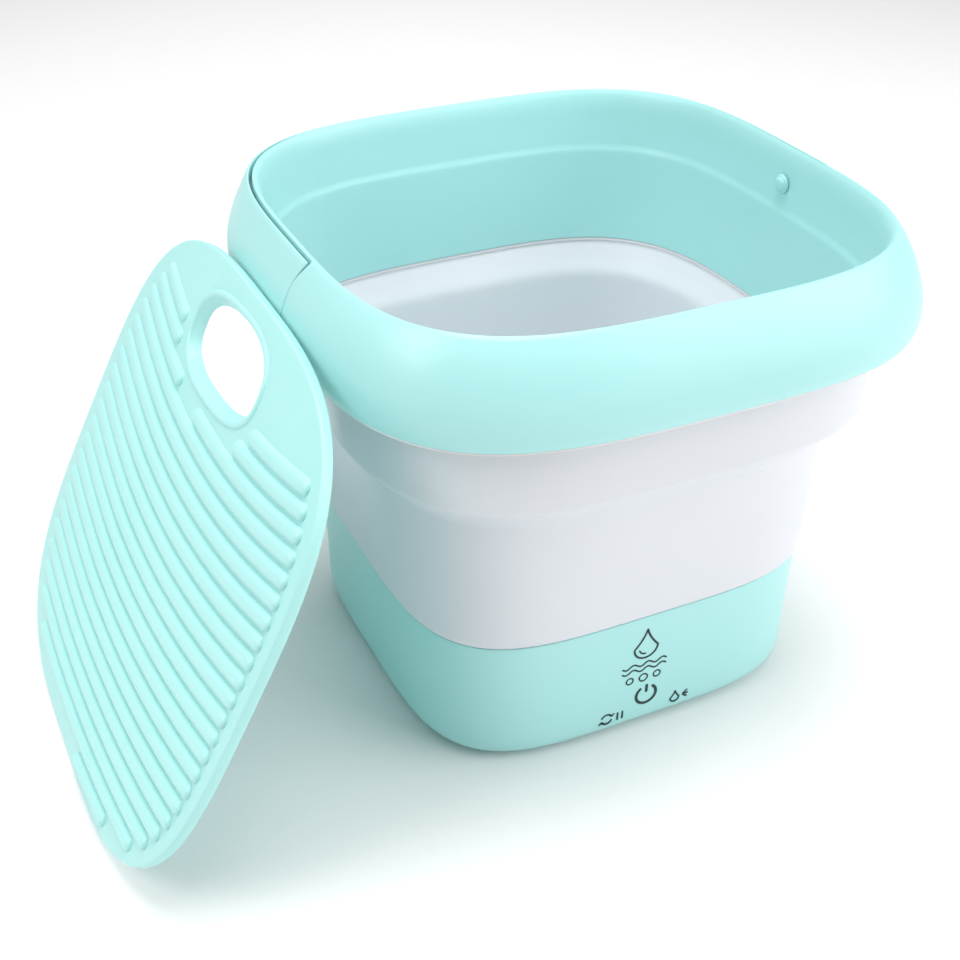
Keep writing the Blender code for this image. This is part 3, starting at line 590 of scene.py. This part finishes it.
def bead(name, a, z, r, look, body, slot, y_end=None, front_half=True, count=12):
    """A fine round bead that follows the bucket's plan, whole or as one half."""
    loops = []
    for k in range(count):
        t = 2 * math.pi * k / count
        aa, zz = a + r * math.cos(t), z + r * math.sin(t)
        pts = ring(aa, RIM_N) if y_end is None else part_ring(aa, RIM_N, y_end, front_half, 120)
        loops.append([(WX + x, y, zz) for x, y in pts])
    if y_end is None:
        return piece(name, *grid(loops), look, body, slot, sharp=60)
    return piece(name, *grid(loops, closed_cols=False, caps=True), look, body, slot, sharp=60)


bead("liner_seal", 0.13615, 0.17880, 0.00115, BEAD, "rim", "white_rubber")

# ------------------------------------------------------------------ rim: liner and lip
liner_profile = profile(
    [(0.1350, 0.1804), (0.1363, 0.2080), (0.1377, 0.2362)],
    [(0.1377, 0.2362), (0.1379, 0.2376), (0.1385, 0.2386), (0.1389, 0.2396)],
    [(0.1389, 0.2396), (0.1405, 0.2530), (0.1413, 0.2612), (0.1419, 0.2655), (0.1427, 0.2690), (0.1436, 0.2714), (0.1446, 0.2727), (0.1454, 0.2727), (0.1460, 0.2719), (0.1462, 0.2704)],
    [(0.1462, 0.2704), (0.1462, 0.2334)],
    [(0.1462, 0.2334), (0.1450, 0.2322), (0.1398, 0.2292)],
    [(0.1398, 0.2292), (0.1371, 0.1802)],
    [(0.1371, 0.1802), (0.1366, 0.1798), (0.1354, 0.1799), (0.1350, 0.1804)],
    step=0.0016,
)
liner = shell("rim_liner", liner_profile, LINER_MINT, RIM_N, sharp=40, replaces=("rim_ring",))
for sx in (-1, 1):
    cut(liner, turned("pin_cut", [(0, -0.02), (0.0034, -0.02), (0.0034, 0.02), (0, 0.02)], MINT, PIVOT + Vector((sx * 0.143, 0, 0)), None, 32, Matrix.Rotation(math.pi / 2, 4, "Y")))
resharpen(liner, 40)
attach(liner, "rim")

BAND_OUT = [(0.1481, 0.2704), (0.1508, 0.2664), (0.1536, 0.2612), (0.1563, 0.2550), (0.1586, 0.2483), (0.1604, 0.2415), (0.16115, 0.2350), (0.1610, 0.2290), (0.1597, 0.2246)]
BAND_LOW = [(0.1597, 0.2246), (0.1590, 0.2240), (0.1580, 0.2240), (0.1574, 0.2246)]
BAND_IN = [(0.1574, 0.2246), (0.1584, 0.2295), (0.1587, 0.2350), (0.1579, 0.2405), (0.1562, 0.2470), (0.1540, 0.2535), (0.1512, 0.2598), (0.1485, 0.2648)]


def seam(z):
    """y of the seam between the fixed band and the handle, on the skin."""
    return float(np.interp(z, [0.2100, 0.2440, 0.2500, 0.2560, 0.2600, 0.2640, 0.2680, 0.2705, 0.2760], [-0.0172, -0.0174, -0.0182, -0.0192, -0.0204, -0.0224, -0.0250, -0.0268, -0.0290]))


band_profile = profile(
    [(0.1452, 0.2731), (0.1461, 0.2727), (0.1470, 0.2719)] + BAND_OUT,
    BAND_LOW,
    BAND_IN + [(0.1462, 0.2674), (0.1452, 0.2690)],
    [(0.1452, 0.2690), (0.1452, 0.2731)],
    step=0.0016,
)


def swept(name, prof, front_half, gap, look, thin=None, count=150, **kw):
    """A profile carried round half of the bucket, ending on the seam."""
    loops = []
    for a, z in prof:
        pts = part_ring(a, RIM_N, seam(z) + gap, front_half, count)
        loops.append([(WX + x, y, z) for x, y in pts])
    loops = np.array(loops)
    if thin is not None:
        # near its ends the inner side of the shell stands closer to the skin
        y = loops[:, :, 1]
        share = np.clip((y + 0.050) / 0.030, 0, 1) * np.array([thin(a, z) for a, z in prof])[:, None]
        for axis, middle in ((0, WX), (1, 0.0)):
            loops[:, :, axis] = middle + (loops[:, :, axis] - middle) * (1 + share * 0.0012 / 0.155)
    obj = piece(name, *grid(loops, closed_cols=False, caps=True), look, sharp=40, **kw)
    return round_off(obj, 0.0005, 2, 50)


def inner_side(a, z):
    return 1.0 if z > 0.2250 and z < 0.2652 and a < float(np.interp(z, [p[1] for p in BAND_OUT[::-1]], [p[0] for p in BAND_OUT[::-1]])) - 0.0012 else 0.0


front_band = swept("rim_band", band_profile, True, 0.0, MINT, inner_side)
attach(front_band, "rim")

handle_profile = profile(
    [(0.1480, 0.2719), (0.1488, 0.2714), (0.1496, 0.2700), (0.1512, 0.2668)] + BAND_OUT[2:],
    BAND_LOW,
    BAND_IN[:-1] + [(0.1493, 0.2634), (0.1478, 0.2654)],
    [(0.1478, 0.2654), (0.1476, 0.2708), (0.1480, 0.2719)],
    step=0.0016,
)
handle = swept("carry_handle", handle_profile, False, 0.0005, MINT, replaces=("handle",))
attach(handle, "handle")
for side, sx in (("left", -1), ("right", 1)):
    turned(
        f"handle_boss_{side}",
        [(0.0034, 0.0), (0.0065, 0.0), (0.0065, 0.0036), (0.0058, 0.0043), (0.0034, 0.0043)],
        MINT,
        PIVOT + Vector((sx * 0.1467, 0, 0)),
        "handle",
        48,
        Matrix.Rotation(sx * math.pi / 2, 4, "Y"),
        slot="mint_plastic",
    )
    turned(
        f"pivot_pin_head_{side}",
        [(0, 0.0130), (0.0026, 0.0130), (0.0030, 0.0126), (0.0030, -0.0001), (0.0053, -0.0001), (0.0054, -0.0007), (0.0049, -0.0015), (0.0042, -0.0017), (0.0038, -0.0024), (0.0028, -0.0030), (0.0014, -0.0032), (0, -0.0032)],
        LINER_MINT,
        PIVOT + Vector((sx * 0.1396, 0, 0)),
        "rim",
        64,
        Matrix.Rotation(sx * math.pi / 2, 4, "Y"),
        slot="mint_plastic",
        replaces=(f"pivot_pin_{side}",),
    )
bead("band_trim", 0.1585, 0.2237, 0.00075, BEAD, "rim", "white_rubber", -0.0180, True)
bead("handle_trim", 0.1585, 0.2237, 0.00075, BEAD, "handle", "white_rubber", -0.0168, False)

# ------------------------------------------------------------------ tub floor
floor_profile = profile(
    [(0.1165, 0.0697), (0.1108, 0.0697)],
    [(0.1108, 0.0697), (0.1090, 0.0676), (0.1062, 0.0648), (0.1030, 0.0638)],
    [(0.1030, 0.0638), (0.0690, 0.0626)],
    [(0.0690, 0.0626), (0.0674, 0.0618), (0.0662, 0.0600), (0.0650, 0.0570), (0.0640, 0.0562)],
    [(0.0640, 0.0562), (0.0200, 0.0556), (0.0080, 0.0556)],
    [(0.0080, 0.0556), (0.0080, 0.0532)],
    [(0.0080, 0.0532), (0.0640, 0.0534), (0.0700, 0.0600)],
    [(0.0700, 0.0600), (0.1045, 0.0612), (0.1090, 0.0667)],
    [(0.1090, 0.0667), (0.1165, 0.0667)],
    [(0.1165, 0.0667), (0.1165, 0.0697)],
    step=0.003,
)


def floor_n(a):
    return float(np.interp(a, [0.070, 0.104, 0.109], [2.0, 3.6, BASE_N]))


floor_loops = [[(WX + x, y, z) for x, y in ring(a, floor_n(a))] for a, z in floor_profile]
# each ring starts on +X and runs the same way, so rings of unlike shape still join square
tub = piece("tub_bottom", *grid(floor_loops), WHITE, sharp=40)
lamp_lo, lamp_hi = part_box("lamp_lens")
LAMP = (lamp_lo + lamp_hi) / 2
cut(tub, turned("lamp_cut", [(0, 0.05), (0.0064, 0.05), (0.0064, 0.08), (0, 0.08)], WHITE, (LAMP.x, LAMP.y, 0), None, 48))
resharpen(tub, 40)
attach(tub, "base")
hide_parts("tub_floor")
turned(
    "shaft_tower",
    [(0.0080, 0.0532), (0.0132, 0.0530), (0.0130, 0.0285), (0.0080, 0.0285)],
    WHITE,
    (WX, 0, 0),
    "base",
    64,
    slot="white_plastic",
)
for k, p in enumerate(screw_places):
    turned(f"cover_post_{k}", [(0.0018, 0.0050), (0.0044, 0.0050), (0.0046, 0.0060), (0.0047, 0.0600), (0.0018, 0.0600)], WHITE, (p.x, p.y, 0), "base", 32, slot="white_plastic")
for k, n in enumerate(("motor_screw_left", "motor_screw_right")):
    p = (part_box(n)[0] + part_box(n)[1]) / 2
    turned(f"motor_post_{k}", [(0.0014, 0.0228), (0.0040, 0.0228), (0.0041, 0.0540), (0.0014, 0.0540)], WHITE, (p.x, p.y, 0), "base", 32, slot="white_plastic")
turned(
    "lamp_bezel",
    [(0.0063, 0.0622), (0.0064, 0.0645), (0.0068, 0.0649), (0.0078, 0.0648), (0.0086, 0.0638), (0.0088, 0.0622)],
    MINT,
    (LAMP.x, LAMP.y, 0),
    "base",
    64,
    slot="mint_plastic",
)
for k in range(16):
    # low ribs on the floor, between the well and the corners
    angle = 2 * math.pi * (k + 0.5) / 16
    reach = 0.098 / (abs(math.cos(angle)) ** 3.6 + abs(math.sin(angle)) ** 3.6) ** (1 / 3.6)
    if abs((angle % (2 * math.pi)) - 1.5 * math.pi) < 0.3:
        continue
    rows = []
    for r in np.linspace(0.0725, reach, 12):
        end = min(1.0, (r - 0.0715) / 0.002, (reach + 0.001 - r) / 0.002)
        w = 0.0011 * math.sqrt(max(0.05, end))
        base_z = float(np.interp(r, [0.069, 0.103], [0.0622, 0.0634])) - 0.0004
        rows.append([(WX + r * math.cos(angle) - s * w * math.sin(angle), r * math.sin(angle) + s * w * math.cos(angle), base_z + h * 0.0016 * max(0.2, end)) for s, h in ((-1, 0), (-0.8, 0.6), (-0.4, 0.93), (0, 1.0), (0.4, 0.93), (0.8, 0.6), (1, 0))])
    verts, faces = grid(rows, closed_rows=False, closed_cols=True, caps=True)
    piece(f"floor_rib_{k}", verts, faces, WHITE, "base", "white_plastic", sharp=50)

# ------------------------------------------------------------------ pulsator
pulsator_parts = profile(
    [(0.0044, 0.0673), (0.0044, 0.0570)],
    [(0.0044, 0.0570), (0.0585, 0.0570)],
    [(0.0585, 0.0570), (0.0594, 0.0575), (0.0599, 0.0588), (0.0599, 0.0606), (0.0594, 0.0616), (0.0580, 0.0624), (0.0540, 0.0631), (0.0420, 0.0640), (0.0300, 0.0655), (0.0220, 0.0681), (0.0165, 0.0719), (0.0140, 0.0744), (0.0122, 0.0758), (0.0104, 0.0762), (0.0092, 0.0758), (0.0088, 0.0744)],
    [(0.0088, 0.0744), (0.0050, 0.0744)],
    [(0.0050, 0.0744), (0.0044, 0.0673)],
    step=0.0012,
)
disc = turned("pulsator_disc", pulsator_parts, WHITE, (WX, 0, 0), None, 128, sharp=40, replaces=("pulsator",))
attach(disc, "pulsator")
for k in range(6):
    rows = []
    for i, r in enumerate(np.linspace(0.0130, 0.0572, 24)):
        u = i / 23
        half = 0.0034 + 0.0022 * math.sin(math.pi * min(1, u * 1.1)) - 0.0020 * max(0, u - 0.8) * 5
        top = 0.0030 + float(np.interp(r, [0.013, 0.022, 0.040, 0.052, 0.0572], [0.0705, 0.0694, 0.0676, 0.0648, 0.0606]))
        bend = 2 * math.pi * k / 6 + 0.38 * u * u
        c, s = math.cos(bend), math.sin(bend)
        section = []
        for t in np.linspace(0, math.pi, 15):
            w = -half * math.cos(t)
            h = math.sin(t) ** 0.8
            section.append((WX + r * c - w * s, r * s + w * c, 0.0600 + (top - 0.0600) * h))
        rows.append(section)
    verts, faces = grid(rows, closed_rows=False, closed_cols=True, caps=True)
    piece(f"pulsator_fin_{k}", verts, faces, WHITE, "pulsator", "white_plastic", sharp=55)
turned(
    "pulsator_button",
    [(0, 0.0785), (0.0022, 0.0784), (0.0040, 0.0780), (0.0042, 0.0776), (0.0048, 0.0776), (0.0052, 0.0777), (0.0070, 0.0770), (0.0080, 0.0761), (0.0084, 0.0752), (0.0084, 0.0747), (0, 0.0747)],
    MINT,
    (WX, 0, 0),
    "pulsator",
    64,
    slot="mint_plastic",
    replaces=("pulsator_cap",),
)

# ------------------------------------------------------------------ washboard
HOLE_AT, HOLE_A, HOLE_B, HOLE_TURN = (-0.0055, 0.1015), 0.0510, 0.0250, math.radians(3.0)
board_edge = spline([(0.0013, 0.0), (0.0006, -0.0002), (0.0002, -0.0006), (0.0, -0.0013)], 0.0003)
board_back = spline([(0.0, -0.0046), (0.0003, -0.0053), (0.0008, -0.0058), (0.0016, -0.0060)], 0.0004)
board_loops = []
for inset, z in [(0.0060, -0.0060 + 0.0009), (0.0054, -0.0060)] + [tuple(p) for p in board_back[::-1]] + [tuple(p) for p in board_edge[::-1]]:
    board_loops.append([(x, y, z) for x, y in ring(BOARD_A - inset, BOARD_N, 220, BOARD_B - inset)])
board = piece("washboard_plate", *grid(board_loops, closed_rows=False, caps=True), BOARD_MINT, sharp=40, at=BOARD)


def hole_ring(grow, z, count=96):
    c, s = math.cos(HOLE_TURN), math.sin(HOLE_TURN)
    return [(HOLE_AT[0] + x * c - y * s, HOLE_AT[1] + x * s + y * c, z) for x, y in ring(HOLE_A + grow, 2.6, count, HOLE_B + grow)]


cut(board, piece("hole_cut", *grid([hole_ring(-0.0002, -0.02), hole_ring(-0.0002, 0.02)], closed_rows=False, caps=True), BOARD_MINT, at=BOARD))
resharpen(board, 40)
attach(board, "washboard")
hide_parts("washboard")
lip = profile(
    [(-0.0050, -0.0056), (-0.0036, -0.0034), (-0.0019, -0.0008)],
    [(-0.0019, -0.0008), (-0.0013, 0.0004), (-0.0005, 0.0010), (0.0006, 0.0011), (0.0016, 0.0007), (0.0022, -0.0003)],
    [(0.0022, -0.0003), (0.0010, -0.0020), (0.0002, -0.0030)],
    [(0.0002, -0.0030), (0.0004, -0.0059), (-0.0040, -0.0059), (-0.0050, -0.0056)],
    step=0.0006,
)
grip = piece("hand_hole_rim", *grid([hole_ring(g, z) for g, z in lip]), BOARD_MINT, sharp=50, at=BOARD)
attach(grip, "washboard")

# ribs: 23 shallow smiles, each a little lower and a little further left than the one above
RIB_W, RIB_H, MARGIN, FREE_MARGIN = 0.0090, 0.0027, 0.0092, 0.0076


def rib_t(k, s):
    """Height on the board of rib k at s across it, both in metres."""
    c = 1.1 - 0.0286 * k
    s0 = 0.018 - 0.0024 * k
    return 0.103 - 0.01052 * k - c * ((0.136 - s0) ** 2 - (s - s0) ** 2)


def inside(s, t):
    """How far inside the even margin a point is: positive inside, as a share of the board."""
    keep = FREE_MARGIN if s > 0 else MARGIN
    return 1 - (abs(s) / (BOARD_A - keep)) ** BOARD_N - (abs(t) / (BOARD_B - keep)) ** BOARD_N


def clear_of_hole(s, t):
    c, sn = math.cos(-HOLE_TURN), math.sin(-HOLE_TURN)
    dx, dy = s - HOLE_AT[0], t - HOLE_AT[1]
    u, v = dx * c - dy * sn, dx * sn + dy * c
    grow = 0.0048 + RIB_W / 2
    return (abs(u) / (HOLE_A + grow)) ** 2.6 + (abs(v) / (HOLE_B + grow)) ** 2.6 - 1


rib_verts, rib_faces = [], []
for k in range(23):
    line = [(s, rib_t(k, s)) for s in np.linspace(-0.140, 0.140, 1401)]
    runs, current = [], []
    for s, t in line:
        if inside(s, t) > 0 and clear_of_hole(s, t) > 0:
            current.append((s, t))
        else:
            if len(current) > 60:
                runs.append(current)
            current = []
    if len(current) > 60:
        runs.append(current)
    for run in runs:
        length = np.linalg.norm(np.diff(np.array(run), axis=0), axis=1).sum()
        path = even(run, max(12, int(length / 0.0045)), False)
        d = np.gradient(path, axis=0)
        d /= np.linalg.norm(d, axis=1)[:, None]
        nrm = np.stack([-d[:, 1], d[:, 0]], -1)
        # half-round ends: extra stations close in on the ends
        stations = []
        for e in (0.0, 0.15, 0.4, 0.7, 1.0):
            stations.append((path[0] + d[0] * RIB_W / 2 * e, nrm[0], math.sqrt(max(0.0, 1 - (1 - e) ** 2))))
        head = [(path[i], nrm[i], 1.0) for i in range(len(path)) if np.linalg.norm(path[i] - path[0]) > RIB_W * 0.62 and np.linalg.norm(path[i] - path[-1]) > RIB_W * 0.62]
        tail = []
        for e in (1.0, 0.7, 0.4, 0.15, 0.0):
            tail.append((path[-1] - d[-1] * RIB_W / 2 * e, nrm[-1], math.sqrt(max(0.0, 1 - (1 - e) ** 2))))
        rows = []
        for p, nn, size in stations + head + tail:
            size = max(size, 0.06)
            row = []
            for u in np.linspace(-1, 1, 15):
                lift = max(0.0, 1 - abs(u) ** 2.4) ** 0.58
                # the ribs run out towards the board's far side
                rise = 0.45 + 0.55 * min(1.0, max(0.0, (p[0] + BOARD_A - MARGIN) / 0.090))
                row.append((p[0] + nn[0] * u * RIB_W / 2 * size, p[1] + nn[1] * u * RIB_W / 2 * size, -0.0004 + (RIB_H * rise + 0.0004) * lift * size**0.6))
            rows.append(row)
        verts, faces = grid(rows, closed_rows=False, closed_cols=True, caps=True)
        start = len(rib_verts)
        rib_verts += verts
        rib_faces += [[i + start for i in f] for f in faces]
ribs = piece("washboard_ribs", rib_verts, rib_faces, BOARD_MINT, sharp=60, at=BOARD)
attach(ribs, "washboard")

# ------------------------------------------------------------------ floor, light, camera
stage_verts, stage_faces = grid([[(-4, y, 0), (4, y, 0)] for y in (-4, 4)], closed_rows=False, closed_cols=False)
floor = piece("studio_floor", stage_verts, [stage_faces[0]], WHITE)
paper = bpy.data.materials.new("studio_paper")
tree, shader = tree_of(paper)
coords = tree.nodes.new("ShaderNodeTexCoord")
speck = tree.nodes.new("ShaderNodeTexNoise")
speck.inputs["Scale"].default_value = 3.0
tone = tree.nodes.new("ShaderNodeValToRGB")
tone.color_ramp.elements[0].color = (0.90, 0.90, 0.90, 1)
tone.color_ramp.elements[1].color = (0.92, 0.92, 0.92, 1)
tree.links.new(coords.outputs["Object"], speck.inputs["Vector"])
tree.links.new(speck.outputs["Fac"], tone.inputs["Fac"])
tree.links.new(tone.outputs["Color"], shader.inputs["Base Color"])
shader.inputs["Roughness"].default_value = 0.9
shader.inputs["Specular IOR Level"].default_value = 0.1
floor.data.materials.clear()
floor.data.materials.append(paper)

world = bpy.data.worlds.new("studio")
bpy.context.scene.world = world
world.use_nodes = True
world.node_tree.nodes["Background"].inputs["Color"].default_value = (1.0, 1.0, 1.0, 1)
world.node_tree.nodes["Background"].inputs["Strength"].default_value = 0.36
bpy.context.scene.view_settings.view_transform = "Standard"


def softbox(name, place, target, size, power, colour=(1, 1, 1)):
    light = bpy.data.lights.new(name, "AREA")
    light.shape = "RECTANGLE"
    light.size, light.size_y = size
    light.energy = power
    light.color = colour
    obj = bpy.data.objects.new(name, light)
    bpy.context.scene.collection.objects.link(obj)
    obj.location = place
    obj.rotation_euler = (Vector(target) - Vector(place)).to_track_quat("-Z", "Y").to_euler()
    return obj


softbox("top", (0.10, 0.05, 2.3), (0.03, 0, 0.1), (1.5, 1.5), 37.5)
softbox("left_high", (-0.85, -0.10, 0.85), (-0.08, 0, 0.26), (0.45, 0.6), 4.2)
softbox("right_front", (1.15, -1.05, 0.85), (0.13, 0, 0.17), (1.3, 1.3), 15.5)
softbox("rear", (0.4, 1.5, 1.2), (0.05, 0, 0.15), (1.0, 0.8), 4)

az, el, roll = math.radians(-25.517), math.radians(33.446), math.radians(0.305)
back = Vector((math.sin(az) * math.cos(el), -math.cos(az) * math.cos(el), math.sin(el)))
right = Vector((math.cos(az), math.sin(az), 0))
up = back.cross(right)
r2 = right * math.cos(roll) + up * math.sin(roll)
u2 = -right * math.sin(roll) + up * math.cos(roll)
camera_data = bpy.data.cameras.new("camera")
camera_data.lens = 53.33
camera_data.sensor_width = 36.0
camera = bpy.data.objects.new("camera", camera_data)
bpy.context.scene.collection.objects.link(camera)
pose = Matrix((r2, u2, back)).transposed().to_4x4()
pose.translation = Vector((-0.33639 + WX, -0.60806, 0.55152))
camera.matrix_world = pose
camera_data.clip_start = 0.01
bpy.context.scene.camera = camera
